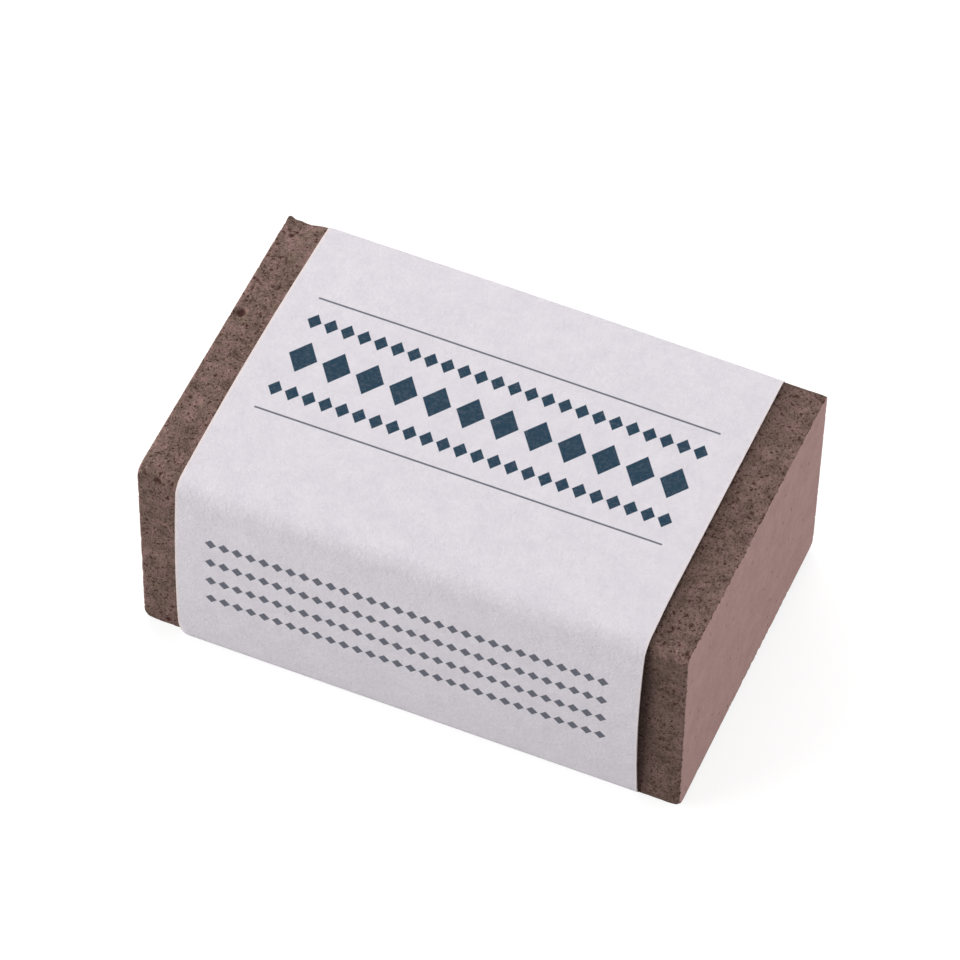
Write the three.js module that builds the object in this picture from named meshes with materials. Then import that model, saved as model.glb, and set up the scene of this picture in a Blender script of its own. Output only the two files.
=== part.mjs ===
// Suede eraser: a cuboid of abrasive rubber in a paper sleeve that slides along it.
// Millimetres, +Z up. X runs along the block, and -Y is the front, where the sleeve bows out.
// The origin is on the supporting surface, below the middle of the block.

import * as THREE from 'three';

// Eraser block
const blockLength = 65;
const blockDepth = 40;
const blockHeight = 26.3;
const topEdgeRadius = 0.4;
const bottomEdgeRadius = 0.6;
const endEdgeRadius = 0.3;

// Paper sleeve: one strip, wrapped round the block from the underside and back to it
const sleeveLength = 55;
const paperThickness = 0.25;
const slidingClearance = 0.1;
const frontClearance = 0.5;
const frontBow = 0.42;

// Seam on the underside: the strip's first end lies at seamStart, and its last end laps over it
const seamStart = 2;
const seamOverlap = 12;
const glueThickness = 0.1;
const glueInset = 1;

// Facets of each rounded edge, fold and bow
const edgeFacets = 4;
const foldFacets = 6;
const bowFacets = 12;

// Levels of the underside, counted up from the supporting surface
const glueBottom = paperThickness;
const innerLapBottom = glueBottom + glueThickness;
const innerLapTop = innerLapBottom + paperThickness;
const blockBottom = innerLapTop + slidingClearance;
const blockTop = blockBottom + blockHeight;

// Inside faces of the sleeve's panels
const insideBack = blockDepth / 2 + slidingClearance;
const insideFront = -blockDepth / 2 - frontClearance;
const insideTop = blockTop + slidingClearance;

// Inside radius of a fold: a little less than the widest that stays clear of the block's edge,
// which is the edge's own radius and what the clearances of the two panels leave beside it.
function foldRadius(panelClearance) {
  const edgeRadius = Math.min(topEdgeRadius, bottomEdgeRadius);
  const room = panelClearance + slidingClearance + Math.sqrt(2 * panelClearance * slidingClearance);
  return edgeRadius + 0.9 * room;
}

const backFold = foldRadius(slidingClearance);
const frontFold = foldRadius(frontClearance);

// Turns a section drawn as (Y, Z) and extruded along its normal into the part's X, Y and Z.
const sectionToPart = new THREE.Matrix4().makeBasis(
  new THREE.Vector3(0, 1, 0),
  new THREE.Vector3(0, 0, 1),
  new THREE.Vector3(1, 0, 0),
);

function extrudeAlongX(section, length, options) {
  const geometry = new THREE.ExtrudeGeometry(section, { depth: length, bevelEnabled: false, ...options });
  geometry.translate(0, 0, -length / 2);
  geometry.applyMatrix4(sectionToPart);
  return geometry;
}

function mesh(name, geometry, material) {
  const piece = new THREE.Mesh(geometry, new THREE.MeshStandardMaterial(material));
  piece.name = name;
  return piece;
}

// Block section: flat faces, with the long edges rounded more below than above.
// The corners run anticlockwise from the lower back one, and each rounds a quarter turn.
function blockSection() {
  const back = blockDepth / 2;
  const lower = { radius: bottomEdgeRadius, centreZ: blockBottom + bottomEdgeRadius };
  const upper = { radius: topEdgeRadius, centreZ: blockTop - topEdgeRadius };
  const corners = [
    { ...lower, centreY: back - bottomEdgeRadius },
    { ...upper, centreY: back - topEdgeRadius },
    { ...upper, centreY: -back + topEdgeRadius },
    { ...lower, centreY: -back + bottomEdgeRadius },
  ];
  const section = new THREE.Shape();
  corners.forEach(({ centreY, centreZ, radius }, corner) => {
    const from = (corner - 1) * (Math.PI / 2);
    section.absarc(centreY, centreZ, radius, from, from + Math.PI / 2);
  });
  section.closePath();
  return section;
}

function eraserBlock() {
  const geometry = extrudeAlongX(blockSection(), blockLength - 2 * endEdgeRadius, {
    bevelEnabled: true,
    bevelThickness: endEdgeRadius,
    bevelSize: endEdgeRadius,
    bevelOffset: -endEdgeRadius,
    bevelSegments: edgeFacets,
    curveSegments: edgeFacets / 2,
  });
  return mesh('eraser_block', geometry, { color: 0x765f58, roughness: 0.95, metalness: 0 });
}

// One face of the paper strip, offset outwards from its inner face, as points from its first end to its last.
// The front panel is an arc that meets the folds above and below it without a corner. An arc that goes on
// from the one before it starts at its own second point.
function paperFace(offset) {
  const upperFront = new THREE.Vector2(insideFront + frontFold, insideTop - frontFold);
  const lowerFront = new THREE.Vector2(insideFront + frontFold, paperThickness + frontFold);
  const foldSpacing = upperFront.y - lowerFront.y;
  const bowRadius = frontFold + (foldSpacing ** 2 / (4 * frontBow) + frontBow) / 2;
  const bowCentre = new THREE.Vector2(
    insideFront - frontBow + bowRadius,
    (upperFront.y + lowerFront.y) / 2,
  );
  const bowTurn = Math.asin(foldSpacing / 2 / (bowRadius - frontFold));
  const points = [];

  function arc(centre, radius, from, to, facets, firstStep = 0) {
    const reach = radius + offset;
    for (let step = firstStep; step <= facets; step += 1) {
      const angle = from + ((to - from) * step) / facets;
      points.push(new THREE.Vector2(centre.x + reach * Math.cos(angle), centre.y + reach * Math.sin(angle)));
    }
  }

  const lowerBack = new THREE.Vector2(insideBack - backFold, innerLapTop + backFold);
  const upperBack = new THREE.Vector2(insideBack - backFold, insideTop - backFold);
  points.push(new THREE.Vector2(seamStart, innerLapTop - offset));
  arc(lowerBack, backFold, -Math.PI / 2, 0, foldFacets);
  arc(upperBack, backFold, 0, Math.PI / 2, foldFacets);
  arc(upperFront, frontFold, Math.PI / 2, Math.PI - bowTurn, foldFacets);
  arc(bowCentre, bowRadius, Math.PI - bowTurn, Math.PI + bowTurn, bowFacets, 1);
  arc(lowerFront, frontFold, Math.PI + bowTurn, Math.PI * 1.5, foldFacets, 1);
  points.push(new THREE.Vector2(seamStart + seamOverlap, paperThickness - offset));
  return points;
}

function paperSleeve() {
  const inside = paperFace(0);
  const outside = paperFace(paperThickness);
  const section = new THREE.Shape([...outside, ...inside.reverse()]);
  const geometry = extrudeAlongX(section, sleeveLength);
  return mesh('paper_sleeve', geometry, { color: 0xe6e2e6, roughness: 0.85, metalness: 0 });
}

function seamAdhesive() {
  const geometry = new THREE.BoxGeometry(
    sleeveLength - 2 * glueInset,
    seamOverlap - 2 * glueInset,
    glueThickness,
  );
  const film = mesh('seam_adhesive', geometry, { color: 0xd8cfae, roughness: 0.5, metalness: 0 });
  film.position.set(0, seamStart + seamOverlap / 2, glueBottom + glueThickness / 2);
  return film;
}

const suedeEraser = new THREE.Group();
suedeEraser.add(eraserBlock());
suedeEraser.add(paperSleeve());
suedeEraser.add(seamAdhesive());

export default suedeEraser;
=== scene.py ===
"""Looks of a suede eraser: a porous rubber block in a paper sleeve, on a white studio floor."""

import math

import bpy
import numpy as np
from mathutils import Matrix, Vector, kdtree, noise


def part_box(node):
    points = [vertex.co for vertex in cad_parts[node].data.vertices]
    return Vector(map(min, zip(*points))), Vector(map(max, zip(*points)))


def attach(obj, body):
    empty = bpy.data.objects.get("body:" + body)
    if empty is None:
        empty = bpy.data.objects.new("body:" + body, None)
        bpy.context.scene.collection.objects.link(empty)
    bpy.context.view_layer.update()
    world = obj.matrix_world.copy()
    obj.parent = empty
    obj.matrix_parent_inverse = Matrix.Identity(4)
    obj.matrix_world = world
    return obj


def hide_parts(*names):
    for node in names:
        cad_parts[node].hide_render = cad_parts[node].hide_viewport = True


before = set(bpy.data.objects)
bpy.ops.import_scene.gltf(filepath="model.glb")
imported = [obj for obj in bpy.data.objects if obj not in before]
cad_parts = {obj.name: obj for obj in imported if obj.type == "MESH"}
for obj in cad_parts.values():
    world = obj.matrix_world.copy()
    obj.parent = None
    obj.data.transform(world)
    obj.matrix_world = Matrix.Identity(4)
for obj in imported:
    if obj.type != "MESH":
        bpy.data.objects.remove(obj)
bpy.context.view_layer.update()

# All lengths are in millimetres, and all colours are linear red, green, blue and opacity
MM = 0.001
ROUNDING = 1e-6
SEED = 7

# Eraser block
BLOCK_LOW, BLOCK_HIGH = (np.array(corner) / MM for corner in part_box("eraser_block"))
LEFT, FRONT, UNDERSIDE = BLOCK_LOW
RIGHT, BACK, TOP = BLOCK_HIGH

# Radii of the block's edges. Most long edges are sharper where they are bare than further under the sleeve
TOP_BACK_RADIUS = 0.18
TOP_FRONT_RADIUS = 0.9
BOTTOM_RADIUS = 0.3
END_RADIUS = 0.2
PRESSED_RADIUS = 0.5
PRESSED_REACH = 5.0

# Radii of the worn corners, by their sides on X, Y and Z, and how far along the edges the wear reaches
WORN_CORNERS = {
    (-1, -1, -1): 1.1,
    (-1, 1, -1): 0.75,
    (1, -1, -1): 0.7,
    (1, 1, -1): 0.7,
    (-1, -1, 1): 0.8,
}
CORNER_REACH = 1.6

# How far corners of the block lie from those of a true cuboid
CORNER_SHIFTS = {
    (-1, 1, 1): (0.0, 0.05, 0.06),
    (1, 1, 1): (0.2, 0.05, 0.06),
    (-1, -1, 1): (-0.04, 0.0, -0.25),
    (-1, -1, -1): (-0.04, 0.0, -0.42),
    (1, -1, -1): (0.0, 0.0, -0.42),
}

# Nicks in the upper back edge, as (X, reach along the edge, depth), and their width as a share of the reach
NICKS = ((-30.0, 1.4, 0.34), (-31.55, 0.5, 0.2))
NICK_WIDTH = 1.14

# The widest pores in view on top of the block, as (X, Y, radius), and their depth as a share of the radius
WIDE_PORES = ((-30.95, 17.3, 0.42), (-31.75, 9.8, 0.32), (-29.05, 9.65, 0.28), (-31.5, 4.85, 0.72))
WIDE_PORE_DEPTH = 0.5

# Other pores, as (number to a square millimetre, least radius, greatest radius), and the chips that pores
# leave in the edges of the end faces. Depths are shares of the radius, from the least to the greatest
PORE_SIZES = ((0.006, 0.35, 0.55), (0.16, 0.14, 0.27))
PORE_DEPTH = (0.35, 0.65)
CHIPS_PER_MM = 0.9
CHIP_RADIUS = (0.12, 0.3)
CHIP_DEPTH = (0.2, 0.4)

# How far the outlines of pores depart from circles, as a share of the radius, and the waves in a millimetre
RAGGEDNESS = 0.4
RAGGED_WAVES = 1.9

# How deep the surface of the cut faces and of the end faces is uneven, and the waves in a millimetre
CUT_UNEVENNESS = 0.05
SKIN_UNEVENNESS = 0.006
UNEVEN_WAVES = 1.3

# Grid of the block along its length and across it: bands of (reach, step) from the edges inwards, and the
# step of the middle
LENGTH_BANDS = ((0.3, 0.1), (5.4, 0.17))
LENGTH_STEP = 0.6
WIDTH_BANDS = ((0.3, 0.1), (1.3, 0.2))
WIDTH_STEP = 0.32

# Paper sleeve. Values in pairs are for its left and its right edge
SLEEVE_LOW, SLEEVE_HIGH = (np.array(corner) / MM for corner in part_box("paper_sleeve"))
SLEEVE_LEFT = SLEEVE_LOW[0]
SLEEVE_RIGHT = SLEEVE_HIGH[0]
PAPER_THICKNESS = 0.25
SLIDING_CLEARANCE = 0.1
BACK_FOLD_RADIUS = 0.85
UPPER_FOLD_RADIUS = (1.3, 1.65)
LOWER_FOLD_RADIUS = (1.5, 1.05)
UPPER_CLEARANCE = (0.45, 0.18)
LOWER_CLEARANCE = (0.76, 0.06)
FRONT_BOW = (0.58, 0.51)
TOP_RISE = (0.05, 0.2)
BACK_BULGE = 0.15

# Edges of the sleeve: how far they slant down the front, bow on the top and flare at the front folds
FRONT_SKEW = -0.17
LEFT_EDGE_BOW = 0.33
RIGHT_EDGE_FLARE = 0.2
FLARE_REACH = 5.0

# How far the sleeve's lower left corner curls in to the block and is cut back, and how far that reaches
LOWER_CURL = 0.62
LOWER_CUT = 0.45
CURL_REACH = 1.15
CURL_HEIGHT = 4.0

# Waves of the paper: their height and size, and the levels between which they start and are full
WAVE_HEIGHT = 0.06
WAVE_SIZE = 9.0
WAVE_START = 2.0
WAVE_FULL = 6.0

# Seam of the sleeve, and the width of the rows of faces along the paper's cut edges
SEAM_START = 2.0
SEAM_OVERLAP = 12.0
CUT_EDGE = 0.04

# Print. Rows of lozenges are (place round the strip from the middle of the top panel, height, pitch)
PRINT_HALF_LENGTH = 24.0
BOLD_ROWS = ((-1.5, 4.6, 4.0), (-6.7, 2.2, 2.0), (3.7, 2.2, 2.0))
FINE_ROWS = ((27.8, 1.4, 1.6), (31.0, 1.4, 1.6), (34.2, 1.4, 1.6), (37.4, 1.4, 1.6))
RULES = (-10.0, 7.0)
RULE_WIDTH = 0.24
HALF_LOZENGES_PER_PITCH = 2.35
INK_BLUR = 0.05
LOZENGE_BLUR = 0.12

# Where round the strip the creases of the upper front fold begin and where they are full, from either side
CREASES_FROM = (19.5, 21.5)
CREASES_TO = (29.0, 22.0)

# Colours of the rubber's cut faces
OLIVE_BROWN = (0.322, 0.226, 0.176, 1.0)
PINK_BROWN = (0.342, 0.212, 0.191, 1.0)
DARK_BROWN = (0.068, 0.038, 0.031, 1.0)
CRUMB = (0.390, 0.280, 0.240, 1.0)
# The two pore colours are painted shade: in the open pores, and deeper toward the bottoms of the pores sunk
# in the mesh
OPEN_PORE_PAINTED_SHADE = (0.050, 0.014, 0.010, 1.0)
PORE_BOTTOM_PAINTED_SHADE = (0.058, 0.017, 0.013, 1.0)
RUBBED_EDGE = (0.370, 0.220, 0.195, 1.0)

# Colours of the skin on its end faces
DARK_SKIN = (0.322, 0.193, 0.178, 1.0)
PALE_SKIN = (0.384, 0.236, 0.218, 1.0)
# The lip colour is a painted highlight along the rim of the end faces
SKIN_RIM_PAINTED_HIGHLIGHT = (0.436, 0.280, 0.254, 1.0)
SKIN_SPECK = (0.455, 0.312, 0.285, 1.0)
# Pinholes are darkened with painted shade
PINHOLE_PAINTED_SHADE = (0.135, 0.070, 0.063, 1.0)

# Colours of the paper, ink and glue
DARK_PAPER = (0.722, 0.682, 0.738, 1.0)
PALE_PAPER = (0.830, 0.794, 0.838, 1.0)
PAPER_SPECK = (0.500, 0.480, 0.500, 1.0)
# The cut rim colour is a painted highlight along the paper's cut edges
PAPER_EDGE_PAINTED_HIGHLIGHT = (0.900, 0.780, 0.750, 1.0)
BOLD_INK = (0.007, 0.038, 0.071, 1.0)
FINE_INK = (0.066, 0.076, 0.108, 1.0)
THICK_GLUE = (0.62, 0.53, 0.33, 1.0)
THIN_GLUE = (0.74, 0.68, 0.50, 1.0)

# Studio. The floor lies a little below the object, so that the two surfaces are never in one plane
WHITE = (1.0, 1.0, 1.0, 1.0)
FLOOR_GREY = (0.35, 0.35, 0.35, 1.0)
FLOOR_GLOW = 0.8
FLOOR_GAP = 0.02
FLOOR_HALF_SIZE = 4000.0
WORLD_LEVEL = 0.25

# Camera, from the photograph's perspective
LENS = 228.0
SENSOR = 36.0
AZIMUTH = math.radians(22.679)
ELEVATION = math.radians(51.668)
ROLL = math.radians(1.017)
CAMERA_DISTANCE = 676.4
AIM_RIGHT = -0.217
AIM_UP = 2.891


class Graph:
    """The node tree of a material or a world. Each method adds nodes and returns what they put out."""

    def __init__(self, owner):
        owner.use_nodes = True
        self.owner = owner
        self.tree = owner.node_tree
        self.tree.nodes.clear()

    def node(self, kind, inputs, **settings):
        made = self.tree.nodes.new(kind)
        for name, value in settings.items():
            setattr(made, name, value)
        for key, value in inputs.items():
            if isinstance(value, bpy.types.NodeSocket):
                self.tree.links.new(value, made.inputs[key])
            else:
                made.inputs[key].default_value = value
        return made

    def vector(self, operation, first, second):
        return self.node("ShaderNodeVectorMath", {0: first, 1: second}, operation=operation).outputs[0]

    def place(self):
        """Position on the object, in millimetres."""
        metres = self.node("ShaderNodeTexCoord", {}).outputs["Object"]
        return self.vector("DIVIDE", metres, (MM, MM, MM))

    def split(self, vector):
        return self.node("ShaderNodeSeparateXYZ", {"Vector": vector}).outputs

    def attribute(self, name):
        return self.node("ShaderNodeAttribute", {}, attribute_name=name).outputs["Fac"]

    def math(self, operation, first, second=0.0):
        return self.node("ShaderNodeMath", {0: first, 1: second}, operation=operation).outputs[0]

    def times(self, first, second):
        return self.math("MULTIPLY", first, second)

    def larger(self, first, second):
        return self.math("MAXIMUM", first, second)

    def ramp(self, value, start, end, low=0.0, high=1.0):
        """Goes smoothly from low to high as value goes from start to end."""
        inputs = {"Value": value, "From Min": start, "From Max": end, "To Min": low, "To Max": high}
        return self.node("ShaderNodeMapRange", inputs, interpolation_type="SMOOTHSTEP").outputs["Result"]

    def noise(self, place, size, detail=2.0, roughness=0.5):
        inputs = {"Vector": place, "Scale": 1 / size, "Detail": detail, "Roughness": roughness}
        return self.node("ShaderNodeTexNoise", inputs).outputs["Fac"]

    def blend(self, *parts):
        """A value about 0.5 that follows noises, each given with the weight that it has."""
        total = 0.5
        for value, weight in parts:
            inputs = {0: self.math("SUBTRACT", value, 0.5), 1: weight, 2: total}
            total = self.node("ShaderNodeMath", inputs, operation="MULTIPLY_ADD").outputs[0]
        return total

    def shift(self, place, size, amount):
        """Moves a place by noise, so that what is drawn there has an uneven outline."""
        offset = self.node("ShaderNodeTexNoise", {"Vector": place, "Scale": 1 / size}).outputs["Color"]
        offset = self.vector("SUBTRACT", offset, (0.5, 0.5, 0.5))
        inputs = {0: offset, 1: (amount, amount, amount), 2: place}
        return self.node("ShaderNodeVectorMath", inputs, operation="MULTIPLY_ADD").outputs[0]

    def spots(self, place, spacing, smallest, largest, small_share=0.0, dimensions="3D"):
        """Share of a round spot of random radius, one to each cell of about the spacing."""
        full_share = 0.45
        inputs = {"Vector": place, "Scale": 1 / spacing}
        cells = self.node("ShaderNodeTexVoronoi", inputs, voronoi_dimensions=dimensions).outputs
        random = self.split(cells["Color"])[0]
        radius = self.ramp(random, small_share, 1.0, smallest / spacing, largest / spacing)
        return self.ramp(cells["Distance"], radius, self.times(radius, full_share))

    def mix(self, share, first, second):
        """Colour that goes from first to second as share goes from 0 to 1."""
        return self.node("ShaderNodeMix", {0: share, 6: first, 7: second}, data_type="RGBA").outputs[2]

    def in_view(self):
        """1 on what the camera sees, directly or in gloss or glass, and 0 on what only gives light."""
        path = self.node("ShaderNodeLightPath", {}).outputs
        seen = path["Is Camera Ray"]
        for name in ("Is Glossy Ray", "Is Transmission Ray"):
            seen = self.larger(seen, path[name])
        return seen

    def bump(self, height, depth):
        return self.node("ShaderNodeBump", {"Height": height, "Distance": depth * MM}).outputs["Normal"]

    def finish(self, inputs):
        shader = self.node("ShaderNodeBsdfPrincipled", inputs)
        self.node("ShaderNodeOutputMaterial", {"Surface": shader.outputs[0]})
        return self.owner


def open_pores(g, place, uneven):
    """Share of pores in the cut faces: ragged ones and round ones of three sizes."""
    pores = g.ramp(g.noise(uneven, size=0.40, detail=1.0), 0.38, 0.28)
    pores = g.larger(pores, g.spots(uneven, spacing=1.2, smallest=0.08, largest=0.29))
    pores = g.larger(pores, g.spots(uneven, spacing=0.62, smallest=0.02, largest=0.19))
    finest = g.shift(place, size=0.3, amount=0.15)
    return g.larger(pores, g.spots(finest, spacing=0.42, smallest=0.01, largest=0.125))


def painted_cut_shade(g, place):
    """Painted shade on the cut faces: how much darker they get toward the right and on the front, with a
    painted shadow beside the sleeve's right edge.
    """
    x, y, _ = g.split(place)
    toward_right = g.ramp(x, LEFT + 2.5, RIGHT - 2.5, 0.02, 0.22)
    on_front = g.ramp(y, FRONT + 0.8, FRONT + 0.2, 0.0, 0.11)
    # A painted shadow of the sleeve's right edge on the bare rubber beside it
    reach = 3.5
    from_left = g.ramp(x, SLEEVE_RIGHT - reach, SLEEVE_RIGHT)
    beside = g.times(from_left, g.ramp(x, SLEEVE_RIGHT, SLEEVE_RIGHT + reach, 0.18, 0.0))
    return g.math("ADD", g.math("ADD", toward_right, on_front), beside)


def cut_rubber(g, place):
    """Colour and height of the cut faces: clouded brown grain with pores darkened by painted shade, a few
    pale crumbs, and painted shade toward the right, on the front and beside the sleeve.
    """
    uneven = g.shift(place, size=0.5, amount=0.25)
    drift = g.noise(place, size=4.5, roughness=0.6)
    clouds = g.noise(place, size=1.5, roughness=0.6)
    grain = g.noise(uneven, size=0.34, roughness=0.65)
    fine = g.noise(place, size=0.18, detail=1.0)
    pores = open_pores(g, place, uneven)
    crumbs = g.spots(g.shift(place, size=0.4, amount=0.2), spacing=0.8, smallest=0.04, largest=0.16)

    tone = g.blend((fine, 1.2), (grain, 1.2), (clouds, 1.0), (drift, 0.9))
    pale = g.mix(g.ramp(clouds, 0.35, 0.65), OLIVE_BROWN, PINK_BROWN)
    brown = g.mix(tone, DARK_BROWN, pale)
    # Painted shade: darker toward the right and on the front, with a painted shadow beside the sleeve's
    # right edge
    brown = g.mix(painted_cut_shade(g, place), brown, DARK_BROWN)
    brown = g.mix(g.times(crumbs, 0.35), brown, CRUMB)
    # Painted shade in the open pores, and deeper painted shade toward the bottoms of the sunk pores
    brown = g.mix(g.times(pores, 0.92), brown, OPEN_PORE_PAINTED_SHADE)
    brown = g.mix(g.ramp(g.attribute("pore"), 0.1, 0.9, 0.0, 0.88), brown, PORE_BOTTOM_PAINTED_SHADE)

    height = g.math("SUBTRACT", g.times(tone, 0.7), g.times(pores, 0.7))
    return brown, height, grain


def end_skin(g, place, inset):
    """Colour and height of the end faces: a faintly clouded pink skin, with pinholes darkened by painted
    shade and a painted highlight along its rim.
    """
    clouds = g.noise(place, size=2.4, detail=4.0, roughness=0.7)
    fine = g.noise(place, size=0.3, roughness=0.6)
    x, y, z = g.split(g.shift(place, size=0.5, amount=0.15))
    on_face = g.node("ShaderNodeCombineXYZ", {"X": g.math("ADD", x, y), "Y": z}).outputs[0]
    holes = g.spots(on_face, spacing=2.4, smallest=0.02, largest=0.28, small_share=0.5, dimensions="2D")
    around = g.shift(place, size=0.4, amount=0.2)
    specks = g.spots(around, spacing=1.1, smallest=0.02, largest=0.14, small_share=0.4)

    tone = g.blend((clouds, 3.2), (fine, 1.6))
    pink = g.mix(tone, DARK_SKIN, PALE_SKIN)
    # A painted highlight along the rim of the end face
    pink = g.mix(g.ramp(inset, 0.12, 0.42, 0.55, 0.0), pink, SKIN_RIM_PAINTED_HIGHLIGHT)
    pink = g.mix(g.times(specks, 0.3), pink, SKIN_SPECK)
    # Pinholes darkened with painted shade
    pink = g.mix(g.times(holes, 0.65), pink, PINHOLE_PAINTED_SHADE)
    return pink, g.math("SUBTRACT", g.times(tone, 0.15), g.times(holes, 0.8))


def edge_rub(g, place, inset, grain):
    """Share of paler crumbs, where the upper front edge and the edges of the end faces are rubbed."""
    _, y, z = g.split(place)
    front_edge = g.times(g.ramp(y, FRONT + 1.0, FRONT + 0.3), g.ramp(z, TOP - 1.1, TOP - 0.4))
    rub = g.larger(front_edge, g.ramp(inset, -0.8, -0.1, 0.0, 0.7))
    rub = g.times(rub, g.ramp(g.noise(place, size=1.8), 0.38, 0.62))
    return g.times(rub, g.ramp(grain, 0.42, 0.62, 0.0, 0.55))


def rubber_material():
    """Cut faces with open pores along the block, and a smooth paler skin on its two end faces."""
    g = Graph(bpy.data.materials.new("porous_rubber"))
    place = g.place()
    inset = g.attribute("end_inset")
    cut, cut_height, grain = cut_rubber(g, place)
    cut = g.mix(edge_rub(g, place, inset, grain), cut, RUBBED_EDGE)
    skin, skin_height = end_skin(g, place, inset)

    # Pores bite into the skin's rim here and there
    deepest_bite = 0.4
    bite = g.ramp(g.noise(place, size=0.42), 0.45, 0.75, 0.0, deepest_bite)
    is_skin = g.ramp(g.math("SUBTRACT", inset, bite), -0.13, -0.05)

    cut_share = g.math("SUBTRACT", 1.0, is_skin)
    height = g.math("ADD", g.times(cut_height, cut_share), g.times(skin_height, is_skin))
    return g.finish({
        "Base Color": g.mix(is_skin, cut, skin),
        "Roughness": g.ramp(is_skin, 0.0, 1.0, 0.95, 0.75),
        "Specular IOR Level": 0.25,
        "Normal": g.bump(height, depth=0.10),
    })


def lozenges(g, along, across, centre, height, pitch):
    """Share of ink in a row of lozenges along the sleeve."""
    step = g.math("SUBTRACT", g.math("FRACT", g.math("DIVIDE", along, pitch)), 0.5)
    sideways = g.times(g.math("ABSOLUTE", step), HALF_LOZENGES_PER_PITCH)
    rise = g.math("DIVIDE", g.math("ABSOLUTE", g.math("SUBTRACT", across, centre)), height / 2)
    blur = LOZENGE_BLUR / height
    shape = g.ramp(g.math("ADD", sideways, rise), 1.0 + blur, 1.0 - blur)
    return g.times(shape, g.math("LESS_THAN", g.math("ABSOLUTE", along), PRINT_HALF_LENGTH))


def rule(g, along, across, centre):
    """Share of ink in a straight line along the sleeve."""
    rise = g.math("ABSOLUTE", g.math("SUBTRACT", across, centre))
    shape = g.ramp(rise, RULE_WIDTH / 2 + INK_BLUR, RULE_WIDTH / 2 - INK_BLUR)
    reach = g.math("ABSOLUTE", along)
    return g.times(shape, g.ramp(reach, PRINT_HALF_LENGTH + INK_BLUR, PRINT_HALF_LENGTH - INK_BLUR))


def printed(g, sheet, along, across, fibres):
    """Bold lozenges between fine rules on the top panel, and fine lozenges on the front panel."""
    bold = 0.0
    for row in BOLD_ROWS:
        bold = g.larger(bold, lozenges(g, along, across, *row))
    fine = 0.0
    for centre in RULES:
        fine = g.larger(fine, rule(g, along, across, centre))
    for row in FINE_ROWS:
        fine = g.larger(fine, lozenges(g, along, across, *row))
    cover = g.times(g.attribute("outside"), g.ramp(fibres, 0.25, 0.6, 0.93, 1.0))
    sheet = g.mix(g.times(g.times(fine, cover), 0.9), sheet, FINE_INK)
    return g.mix(g.times(bold, cover), sheet, BOLD_INK)


def paper_material():
    """Uncoated white paper, faintly clouded and fibrous, creased at a fold, with a print outside and a
    painted highlight along its cut edges.
    """
    g = Graph(bpy.data.materials.new("uncoated_paper"))
    place = g.place()
    strip = g.node("ShaderNodeUVMap", {}, uv_map="strip").outputs["UV"]
    along, across, _ = g.split(strip)
    clouds = g.noise(place, size=2.2, detail=4.0, roughness=0.65)
    fibres = g.noise(g.shift(place, size=0.8, amount=0.8), size=0.4, detail=4.0, roughness=0.7)
    specks = g.spots(g.shift(place, size=0.3, amount=0.2), spacing=1.6, smallest=0.01, largest=0.12)

    tone = g.blend((clouds, 1.4), (fibres, 1.3))
    sheet = g.mix(tone, DARK_PAPER, PALE_PAPER)
    sheet = g.mix(g.times(specks, 0.25), sheet, PAPER_SPECK)
    # A painted highlight along the paper's cut edges
    left_rim = g.ramp(along, SLEEVE_LEFT + 0.38, SLEEVE_LEFT + 0.12, 0.0, 0.75)
    right_rim = g.ramp(along, SLEEVE_RIGHT - 0.26, SLEEVE_RIGHT - 0.10, 0.0, 0.45)
    sheet = g.mix(g.math("ADD", left_rim, right_rim), sheet, PAPER_EDGE_PAINTED_HIGHLIGHT)
    sheet = printed(g, sheet, along, across, fibres)

    # The fold at the top of the front panel has coarser fibres and shallow creases
    folded = g.times(g.ramp(across, *CREASES_FROM), g.ramp(across, *CREASES_TO))
    crumple = g.noise(g.shift(place, size=1.2, amount=1.2), size=0.9, roughness=0.6)
    creases = g.times(crumple, g.ramp(folded, 0.0, 1.0, 0.0, 0.6))
    fibre_height = g.times(fibres, g.ramp(folded, 0.0, 1.0, 1.0, 1.2))
    cloud_height = g.math("ADD", creases, g.times(clouds, 0.7))
    return g.finish({
        "Base Color": sheet,
        "Roughness": g.ramp(fibres, 0.3, 0.7, 0.95, 0.82),
        "Specular IOR Level": 0.3,
        "Normal": g.bump(g.math("ADD", fibre_height, cloud_height), depth=0.08),
    })


def glue_material():
    """Dried paper glue: a cream film, thicker and darker in places."""
    g = Graph(bpy.data.materials.new("dried_glue"))
    ridges = g.noise(g.place(), size=1.2, detail=3.0, roughness=0.6)
    return g.finish({
        "Base Color": g.mix(g.ramp(ridges, 0.3, 0.7), THICK_GLUE, THIN_GLUE),
        "Roughness": g.ramp(ridges, 0.3, 0.7, 0.35, 0.6),
        "Normal": g.bump(ridges, depth=0.03),
    })


def new_object(name, points, faces, material):
    """Makes a smooth mesh of points in millimetres."""
    mesh = bpy.data.meshes.new(name)
    mesh.from_pydata((points * MM).tolist(), [], faces.tolist())
    mesh.polygons.foreach_set("use_smooth", np.ones(len(mesh.polygons), bool))
    mesh.materials.append(material)
    made = bpy.data.objects.new(name, mesh)
    bpy.context.scene.collection.objects.link(made)
    return made


def add_values(made, name, values):
    """Gives each point of a mesh a number that its material can read."""
    made.data.attributes.new(name, "FLOAT", "POINT").data.foreach_set("value", values.astype(np.float32))


def add_map(made, name, places):
    """Adds a UV map, given the place of each corner of each face in turn."""
    made.data.uv_layers.new(name=name).data.foreach_set("uv", places.astype(np.float32).ravel())


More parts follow.
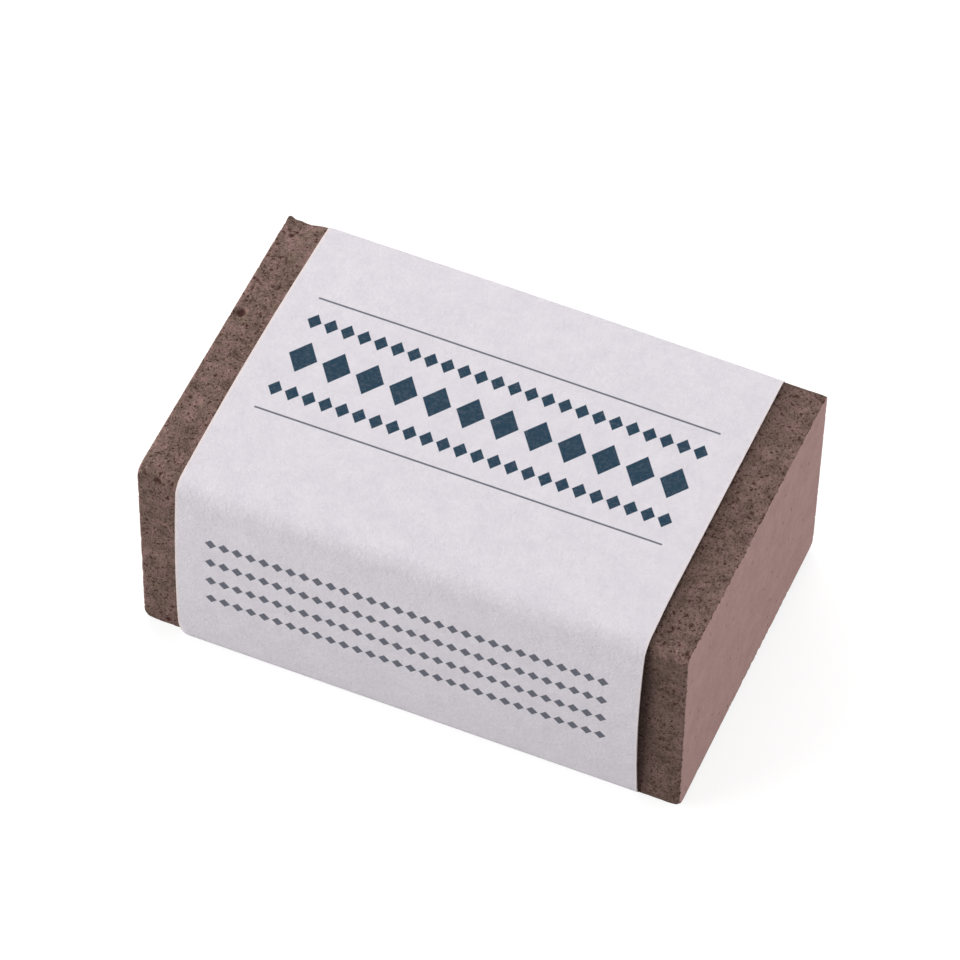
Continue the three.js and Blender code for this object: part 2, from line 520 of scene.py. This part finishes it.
def graded_line(low, high, bands, step):
    """Positions from low to high, closer together in bands at both ends, given as (reach, step) inwards."""
    half = []
    start = 0.0
    for reach, band_step in bands:
        half.append(np.arange(start, reach - ROUNDING, band_step))
        start = reach
    half = np.concatenate(half)
    middle = np.linspace(low + start, high - start, round((high - low - 2 * start) / step) + 1)
    return np.concatenate([low + half, middle, high - half[::-1]])


def grid_faces(grid):
    """Four-cornered faces between neighbouring numbers of a grid."""
    return np.stack([grid[:-1, :-1], grid[1:, :-1], grid[1:, 1:], grid[:-1, 1:]], -1).reshape(-1, 4)


def side_number(axis, high):
    """Number of a side of a box, by the axis that it faces along, and 1 at the axis's high end or else 0."""
    return 2 * axis + high


def box_surface(lines):
    """Points and faces of a box divided along three lines, and the number of each face's side."""
    counts = [len(line) for line in lines]
    shown = np.ones(counts, bool)
    shown[1:-1, 1:-1, 1:-1] = False
    number = np.full(counts, -1)
    number[shown] = np.arange(shown.sum())
    points = np.stack(np.meshgrid(*lines, indexing="ij"), -1)[shown]
    faces = []
    sides = []
    for axis in range(3):
        for high in (0, 1):
            grid = np.take(number, -high, axis)
            corners = grid_faces(grid)
            faces.append(corners if high != (axis == 1) else corners[:, ::-1])
            sides.append(np.full(len(corners), side_number(axis, high)))
    return points, np.concatenate(faces), np.concatenate(sides)


def round_edges(points, first, second, radii):
    """Rounds the block's edges that are square to two axes. Radii go by an edge's sides on these axes."""
    for (first_side, second_side), radius in radii.items():
        sides = np.array([first_side, second_side])
        corner = np.where(sides > 0, BLOCK_HIGH[[first, second]], BLOCK_LOW[[first, second]])
        radius = np.broadcast_to(radius, len(points))[:, None]
        inwards = sides * (points[:, [first, second]] - corner) + radius
        near = (inwards > 0).all(axis=1)
        inwards = inwards[near]
        inwards *= (inwards.max(axis=1) / np.linalg.norm(inwards, axis=1))[:, None]
        points[np.ix_(near, [first, second])] = corner + sides * (inwards - radius[near])


def worn_radius(points, radius):
    """Radius of an edge that grows toward the worn corners of the block."""
    for sides, corner_radius in WORN_CORNERS.items():
        corner = np.where(np.array(sides) > 0, BLOCK_HIGH, BLOCK_LOW)
        share = np.clip(1 - np.linalg.norm(points - corner, axis=1) / CORNER_REACH, 0, 1) ** 2
        radius = radius + np.maximum(corner_radius - radius, 0) * share
    return radius


def pressed_radius(points, bare):
    """Radius of a long edge that grows from the end of the sleeve inwards."""
    share = np.clip((SLEEVE_RIGHT - np.abs(points[:, 0])) / PRESSED_REACH, 0, 1)
    return bare + (PRESSED_RADIUS - bare) * share


def nick_edge(points):
    """Leaves shallow nicks in the upper back edge."""
    x, y, z = points.copy().T
    from_edge = BACK - y + TOP - z
    for middle, reach, depth in NICKS:
        along = (x - middle) / reach
        across = from_edge / (NICK_WIDTH * reach)
        scoop = depth * np.exp(-along ** 2 - across ** 2)
        points[:, 1:] -= scoop[:, None] * math.sqrt(0.5)


def shift_corners(points):
    """Moves the corners of the block, and what lies between them in proportion."""
    middle = (BLOCK_LOW + BLOCK_HIGH) / 2
    place = (points - middle) / (BLOCK_HIGH - middle)
    for sides, shift in CORNER_SHIFTS.items():
        share = ((1 + place * np.array(sides)) / 2).prod(axis=1)
        points += share[:, None] * np.array(shift)


def shape_block(points):
    """Makes a box's surface into that of the block: worn edges, nicks and corners out of true."""
    flat = points.copy()
    bottom = worn_radius(flat, pressed_radius(flat, BOTTOM_RADIUS))
    end = worn_radius(flat, END_RADIUS)
    round_edges(points, 1, 2, {
        (-1, 1): TOP_FRONT_RADIUS,
        (1, 1): pressed_radius(flat, TOP_BACK_RADIUS),
        (-1, -1): bottom,
        (1, -1): bottom,
    })
    corners = [(-1, -1), (-1, 1), (1, -1), (1, 1)]
    round_edges(points, 0, 2, dict.fromkeys(corners, end))
    round_edges(points, 0, 1, dict.fromkeys(corners, end))
    nick_edge(points)
    shift_corners(points)


def scattered_pores(random):
    """Centre, radius and depth of the pores that are wide enough to show in the surface itself."""
    length, depth, height = BLOCK_HIGH - BLOCK_LOW
    sides = ((2, TOP, depth), (2, UNDERSIDE, depth), (1, FRONT, height), (1, BACK, height))
    pores = [(np.array([x, y, TOP]), radius, radius * WIDE_PORE_DEPTH) for x, y, radius in WIDE_PORES]
    for per_square_mm, smallest, largest in PORE_SIZES:
        for axis, level, width in sides:
            for _ in range(round(per_square_mm * length * width)):
                centre = random.uniform(BLOCK_LOW, BLOCK_HIGH)
                centre[axis] = level
                radius = random.uniform(smallest, largest)
                pores.append((centre, radius, radius * random.uniform(*PORE_DEPTH)))
    return pores


def edge_chips(random):
    """Centre, radius and depth of the pores that break through the edges of the end faces."""
    chips = []
    for end in (LEFT, RIGHT):
        for axis in (1, 2):
            for level in (BLOCK_LOW[3 - axis], BLOCK_HIGH[3 - axis]):
                for _ in range(round(CHIPS_PER_MM * (BLOCK_HIGH[axis] - BLOCK_LOW[axis]))):
                    centre = np.array([end, level, level])
                    centre[axis] = random.uniform(BLOCK_LOW[axis], BLOCK_HIGH[axis])
                    radius = random.uniform(*CHIP_RADIUS)
                    chips.append((centre, radius, radius * random.uniform(*CHIP_DEPTH)))
    return chips


def pore_depths(points, pores):
    """How far each point lies down a pore, and that depth as a share of its pore's."""
    bowl_power = 0.7
    tree = kdtree.KDTree(len(points))
    for index, point in enumerate(points):
        tree.insert(point, index)
    tree.balance()
    depths = np.zeros(len(points))
    shares = np.zeros(len(points))
    for centre, radius, depth in pores:
        for place, index, distance in tree.find_range(centre, radius * (1 + RAGGEDNESS)):
            ragged = 1 + RAGGEDNESS * noise.noise(place * RAGGED_WAVES)
            away = distance / (radius * ragged)
            if away < 1:
                bowl = (1 - away ** 2) ** bowl_power
                depths[index] = max(depths[index], depth * bowl)
                shares[index] = max(shares[index], bowl)
    return depths, shares


def uneven_depths(points, inset):
    """How far each point lies down in the unevenness of the surface."""
    smoothness, frequency_step, octaves = 0.7, 2.0, 3
    waves = np.array([
        noise.fractal(Vector(point) * UNEVEN_WAVES, smoothness, frequency_step, octaves) for point in points
    ])
    return np.where(inset >= 0, SKIN_UNEVENNESS, CUT_UNEVENNESS) * np.clip(0.5 + 0.5 * waves, 0, 1)


def end_insets(flat):
    """Distance of each point of a plain box from the rim of its end face, below 0 outside the face."""
    x, y, z = flat.T
    from_end = RIGHT - np.abs(x)
    inset = np.minimum(BACK - np.abs(y), np.minimum(TOP - z, z - UNDERSIDE))
    return np.where(from_end > ROUNDING, -from_end, inset)


def block_map(flat, faces, sides):
    """Lays the six sides of the block out beside one another on a square."""
    gap = 1.0
    length, depth, height = BLOCK_HIGH - BLOCK_LOW
    above_top = depth + gap
    above_bottom = above_top + depth + gap
    above_front = above_bottom + height + gap

    # For each side, the axes that run right and up on the map, and where the side starts on it
    layout = {
        side_number(2, 1): (0, 1, 0, 0),
        side_number(2, 0): (0, 1, 0, above_top),
        side_number(1, 0): (0, 2, 0, above_bottom),
        side_number(1, 1): (0, 2, 0, above_front),
        side_number(0, 0): (1, 2, length + gap, 0),
        side_number(0, 1): (1, 2, length + gap, above_top),
    }
    places = np.zeros((len(faces), 4, 2))
    from_low = flat[faces] - BLOCK_LOW
    for side, (right, up, start_right, start_up) in layout.items():
        chosen = sides == side
        places[chosen, :, 0] = from_low[chosen][:, :, right] + start_right
        places[chosen, :, 1] = from_low[chosen][:, :, up] + start_up
    return places / (above_front + height)


def eraser_block():
    """The block, with its pores and unevenness sunk into its surface."""
    flat, faces, sides = box_surface([
        graded_line(LEFT, RIGHT, LENGTH_BANDS, LENGTH_STEP),
        graded_line(FRONT, BACK, WIDTH_BANDS, WIDTH_STEP),
        graded_line(UNDERSIDE, TOP, WIDTH_BANDS, WIDTH_STEP),
    ])
    points = flat.copy()
    shape_block(points)
    block = new_object("block", points, faces, rubber_material())
    normals = np.zeros(len(points) * 3, np.float32)
    block.data.vertex_normals.foreach_get("vector", normals)

    random = np.random.default_rng(SEED)
    depths, shares = pore_depths(points, scattered_pores(random) + edge_chips(random))
    inset = end_insets(flat)
    depths += uneven_depths(points, inset)
    points = points - normals.reshape(-1, 3) * depths[:, None]
    block.data.vertices.foreach_set("co", (points * MM).astype(np.float32).ravel())
    block.data.update()
    add_values(block, "pore", shares)
    add_values(block, "end_inset", inset)
    add_map(block, "OFBake", block_map(flat, faces, sides))
    return block


# Directions out of the paper, as (Y, Z)
UPWARD = (0, 1)
DOWNWARD = (0, -1)
BACKWARD = (1, 0)
FORWARD = (-1, 0)


class Path:
    """Points on a face of the paper as (Y, Z), and the directions out of it."""

    def __init__(self):
        self.points = []
        self.directions = []

    def line(self, start, end, direction, steps):
        share = np.linspace(0, 1, steps, endpoint=False)[:, None]
        self.points.append(np.array(start) * (1 - share) + np.array(end) * share)
        self.directions.append(np.tile(direction, (steps, 1)))

    def arc(self, centre, radius, start, end, steps):
        angles = np.linspace(start, end, steps, endpoint=False)
        around = np.stack([np.cos(angles), np.sin(angles)], -1)
        self.points.append(np.array(centre) + radius * around)
        self.directions.append(around)


def bow_front(points, bow, fold, top):
    """Bows the front panel out between its folds, which lean out with it."""
    on_front = points[:, 0] < FRONT + fold
    height = (points[on_front, 1] - PAPER_THICKNESS) / (top - PAPER_THICKNESS)
    points[on_front, 0] -= bow * np.clip(4 * height * (1 - height), 0, 1)


def strip_section(share):
    """The paper's inner face where it is cut across, at a share of the way from left edge to right."""
    upper_fold, lower_fold, upper_clearance, lower_clearance, bow, rise = (
        left + (right - left) * share
        for left, right in (
            UPPER_FOLD_RADIUS, LOWER_FOLD_RADIUS, UPPER_CLEARANCE, LOWER_CLEARANCE, FRONT_BOW, TOP_RISE,
        )
    )
    middle = 4 * share * (1 - share)
    lap = UNDERSIDE - SLIDING_CLEARANCE
    back = BACK + SLIDING_CLEARANCE + BACK_BULGE * middle
    top = TOP + SLIDING_CLEARANCE
    upper_front = FRONT - upper_clearance
    lower_front = FRONT - lower_clearance
    back_y = back - BACK_FOLD_RADIUS
    upper_y = upper_front + upper_fold
    lower_y = lower_front + lower_fold
    upper = top + rise - upper_fold
    lower = PAPER_THICKNESS + lower_fold
    last = SEAM_START + SEAM_OVERLAP
    quarter = math.pi / 2

    path = Path()
    path.line((SEAM_START, lap), (SEAM_START + CUT_EDGE, lap), DOWNWARD, steps=1)
    path.line((SEAM_START + CUT_EDGE, lap), (back_y, lap), DOWNWARD, steps=20)
    path.arc((back_y, lap + BACK_FOLD_RADIUS), BACK_FOLD_RADIUS, -quarter, 0, steps=8)
    path.line((back, lap + BACK_FOLD_RADIUS), (back, top - BACK_FOLD_RADIUS), BACKWARD, steps=24)
    path.arc((back_y, top - BACK_FOLD_RADIUS), BACK_FOLD_RADIUS, 0, quarter, steps=8)
    path.line((back_y, top), (upper_y, top), UPWARD, steps=40)
    path.arc((upper_y, upper), upper_fold, quarter, 2 * quarter, steps=14)
    path.line((upper_front, upper), (lower_front, lower), FORWARD, steps=36)
    path.arc((lower_y, lower), lower_fold, 2 * quarter, 3 * quarter, steps=14)
    path.line((lower_y, PAPER_THICKNESS), (last - CUT_EDGE, PAPER_THICKNESS), DOWNWARD, steps=36)
    path.line((last - CUT_EDGE, PAPER_THICKNESS), (last, PAPER_THICKNESS), DOWNWARD, steps=1)
    path.line((last, PAPER_THICKNESS), (last, PAPER_THICKNESS), DOWNWARD, steps=1)
    points = np.concatenate(path.points)
    directions = np.concatenate(path.directions)
    bow_front(points, bow, upper_fold, top + rise)

    # The top panel rises a little toward the front fold
    straight_up = 0.999
    on_top = directions[:, 1] > straight_up
    toward_front = (back_y - points[on_top, 0]) / (back_y - upper_y)
    points[on_top, 1] = top + rise * np.clip(toward_front, 0, 1) ** 2
    return points, directions


def sleeve_stations():
    """Places along X where the sleeve is cut across, closer together at its curled left edge."""
    curled, others = 8, 87
    curl_end = SLEEVE_LEFT + CURL_REACH
    return np.concatenate([
        [SLEEVE_LEFT],
        np.linspace(SLEEVE_LEFT + CUT_EDGE, curl_end, curled, endpoint=False),
        np.linspace(curl_end, SLEEVE_RIGHT - CUT_EDGE, others),
        [SLEEVE_RIGHT],
    ])


def paper_waves(station, section):
    """How far the paper waves out at each point of a section. Near the floor it lies flat."""
    waves = np.array([0.5 + 0.5 * noise.noise(Vector((station, *point)) / WAVE_SIZE) for point in section])
    height = section[:, 1]
    return waves * WAVE_HEIGHT * np.clip((height - WAVE_START) / (WAVE_FULL - WAVE_START), 0, 1)


def sleeve_faces(stations):
    """Points of the sleeve's inner and outer faces, each as a grid by station and place on the strip."""
    inner = []
    outer = []
    for station in stations:
        share = (station - SLEEVE_LEFT) / (SLEEVE_RIGHT - SLEEVE_LEFT)
        section, direction = strip_section(share)
        y, z = section.T
        to_front = np.clip(y / FRONT, 0, 1)
        down = np.clip((TOP - z) / (TOP - UNDERSIDE), 0, 1) * to_front
        curl = np.clip(1 - (station - SLEEVE_LEFT) / CURL_REACH, 0, 1) ** 2
        low_front = curl * np.clip(1 - z / CURL_HEIGHT, 0, 1) ** 2 * to_front
        faces_up = direction[:, 1] > 0.5
        bow = np.where(faces_up, 1 - (y / BACK) ** 2, 0)
        flare = np.exp(-((y - FRONT) / FLARE_REACH) ** 2) * (2 * down - 1) ** 2

        x = station + FRONT_SKEW * down + LOWER_CUT * low_front
        x += RIGHT_EDGE_FLARE * share * flare - LEFT_EDGE_BOW * (1 - share) * bow
        face = section + direction * paper_waves(station, section)[:, None]
        face[:, 0] += LOWER_CURL * low_front
        inner.append(np.column_stack([x, face]))
        outer.append(np.column_stack([x, face + direction * PAPER_THICKNESS]))
    return np.array(inner), np.array(outer)


def paper_sleeve():
    """The sleeve: an inner and an outer face of paper, joined along the strip's cut edges."""
    stations = sleeve_stations()
    inner, outer = sleeve_faces(stations)
    rows, columns = inner.shape[:2]
    one_face = rows * columns
    grid = np.arange(one_face).reshape(rows, columns)
    rim = np.concatenate([grid[0, :-1], grid[:-1, -1], grid[-1, :0:-1], grid[:0:-1, 0]])
    after = np.roll(rim, -1)
    edge = np.stack([rim, after, after + one_face, rim + one_face], -1)
    faces = np.concatenate([grid_faces(grid) + one_face, grid_faces(grid)[:, ::-1], edge])
    points = np.concatenate([inner.reshape(-1, 3), outer.reshape(-1, 3)])
    sleeve = new_object("sleeve", points, faces, paper_material())
    add_values(sleeve, "outside", np.repeat([0.0, 1.0], one_face))

    # Places on the flat strip, counted along X and round from the middle of the top panel
    middle = outer[rows // 2]
    around = np.concatenate([[0], np.cumsum(np.linalg.norm(np.diff(middle, axis=0), axis=1))])
    on_top = middle[:, 2] > TOP
    around -= np.interp(0, -middle[on_top, 1], around[on_top])
    strip = np.stack(np.broadcast_arrays(stations[:, None], around[None, :]), -1).reshape(-1, 2)
    add_map(sleeve, "strip", np.tile(strip, (2, 1))[faces])
    add_map(sleeve, "OFBake", sleeve_map(strip, faces, len(edge)))
    return sleeve


def sleeve_map(strip, faces, edge_count):
    """Lays the sleeve's outer face, inner face and cut edges out beside one another on a square."""
    gap = 1.0
    edge_width = 0.5
    edge_fill = 0.9
    low = strip.min(axis=0)
    width, length = strip.max(axis=0) - low
    places = (strip - low)[faces % len(strip)]
    face_count = (len(faces) - edge_count) // 2
    places[face_count:2 * face_count, :, 0] += width + gap
    share = np.arange(edge_count) / edge_count
    edges = places[2 * face_count:]
    edges[:, [0, 3], 1] = (share * length)[:, None]
    edges[:, [1, 2], 1] = ((share + edge_fill / edge_count) * length)[:, None]
    edges[:, [0, 1], 0] = 2 * (width + gap)
    edges[:, [2, 3], 0] = 2 * (width + gap) + edge_width
    return places / (length + gap)


def seam_adhesive():
    """The film of glue in the seam, a little smaller than the film in the CAD and uneven at its edges."""
    shrink = 0.04
    wave_size = 2.5
    columns, rows = 80, 18
    low, high = (np.array(corner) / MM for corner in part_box("seam_adhesive"))
    points, faces, _ = box_surface([
        np.linspace(low[0], high[0], columns),
        np.linspace(low[1], high[1], rows),
        np.array([low[2], high[2]]),
    ])
    middle = (low + high) / 2
    for point in points:
        wave = 1 - shrink * (1 + noise.noise(Vector((point[0], point[1], 0.0)) / wave_size))
        point[:2] = middle[:2] + (point[:2] - middle[:2]) * wave
    return new_object("seam_glue", points, faces, glue_material())


def lamp(name, level, distance, width, height):
    """A soft lamp in the direction of its level. It lights a surface by the part of the level that the
    surface faces, where 1 shows a colour as it is written."""
    level = Vector(level)
    light = bpy.data.lights.new(name, "AREA")
    light.shape = "ELLIPSE"
    light.size = width * MM
    light.size_y = height * MM
    light.energy = level.length * (math.pi * MM) ** 2 * (distance ** 2 + width * height / 4)
    made = bpy.data.objects.new(name, light)
    made.location = level.normalized() * distance * MM
    made.rotation_euler = level.to_track_quat("Z", "Y").to_euler()
    bpy.context.scene.collection.objects.link(made)


def studio():
    """A white world and four soft lamps."""
    g = Graph(bpy.data.worlds.new("studio"))
    strength = g.ramp(g.in_view(), 0.0, 1.0, WORLD_LEVEL, 1.0)
    light = g.node("ShaderNodeBackground", {"Color": WHITE, "Strength": strength})
    g.node("ShaderNodeOutputWorld", {"Surface": light.outputs[0]})
    bpy.context.scene.world = g.owner
    lamp("key", level=(-0.72, -0.49, 0.28), distance=1400, width=1220, height=600)
    lamp("fill", level=(0.41, 0.06, 0.10), distance=450, width=300, height=200)
    lamp("top", level=(-0.15, 0.26, 0.34), distance=600, width=500, height=500)
    lamp("back", level=(0.0, 0.20, 0.02), distance=1400, width=600, height=250)


def floor():
    """A grey floor that glows white in view, with the object's faint shadow on it."""
    g = Graph(bpy.data.materials.new("studio_floor"))
    g.finish({
        "Base Color": FLOOR_GREY,
        "Roughness": 1.0,
        "Specular IOR Level": 0.0,
        "Emission Color": WHITE,
        "Emission Strength": g.times(g.in_view(), FLOOR_GLOW),
    })
    corners = np.array([[-1, -1], [1, -1], [1, 1], [-1, 1]]) * FLOOR_HALF_SIZE
    corners = np.column_stack([corners, np.full(4, -FLOOR_GAP)])
    new_object("floor", corners, np.array([[0, 1, 2, 3]]), g.owner)


def camera():
    """A camera that sees the object from where the photograph was taken."""
    level = math.cos(ELEVATION)
    back = Vector((math.sin(AZIMUTH) * level, -math.cos(AZIMUTH) * level, math.sin(ELEVATION)))
    level_right = Vector((math.cos(AZIMUTH), math.sin(AZIMUTH), 0))
    level_up = back.cross(level_right)
    right = level_right * math.cos(ROLL) + level_up * math.sin(ROLL)
    up = level_up * math.cos(ROLL) - level_right * math.sin(ROLL)
    aim = Vector((BLOCK_LOW + BLOCK_HIGH) / 2) + right * AIM_RIGHT + up * AIM_UP
    data = bpy.data.cameras.new("camera")
    data.lens = LENS
    data.sensor_width = SENSOR
    made = bpy.data.objects.new("camera", data)
    turn = Matrix((right, up, back)).transposed().to_4x4()
    made.matrix_world = Matrix.Translation((aim + back * CAMERA_DISTANCE) * MM) @ turn
    bpy.context.scene.collection.objects.link(made)
    bpy.context.scene.camera = made


camera()
studio()
floor()
for piece, node, body, slot in (
    (eraser_block(), "eraser_block", "block", "eraser_rubber"),
    (paper_sleeve(), "paper_sleeve", "sleeve", "sleeve_paper"),
    (seam_adhesive(), "seam_adhesive", "sleeve", "dried_glue"),
):
    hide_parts(node)
    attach(piece, body)

bpy.context.scene.view_settings.view_transform = "Standard"
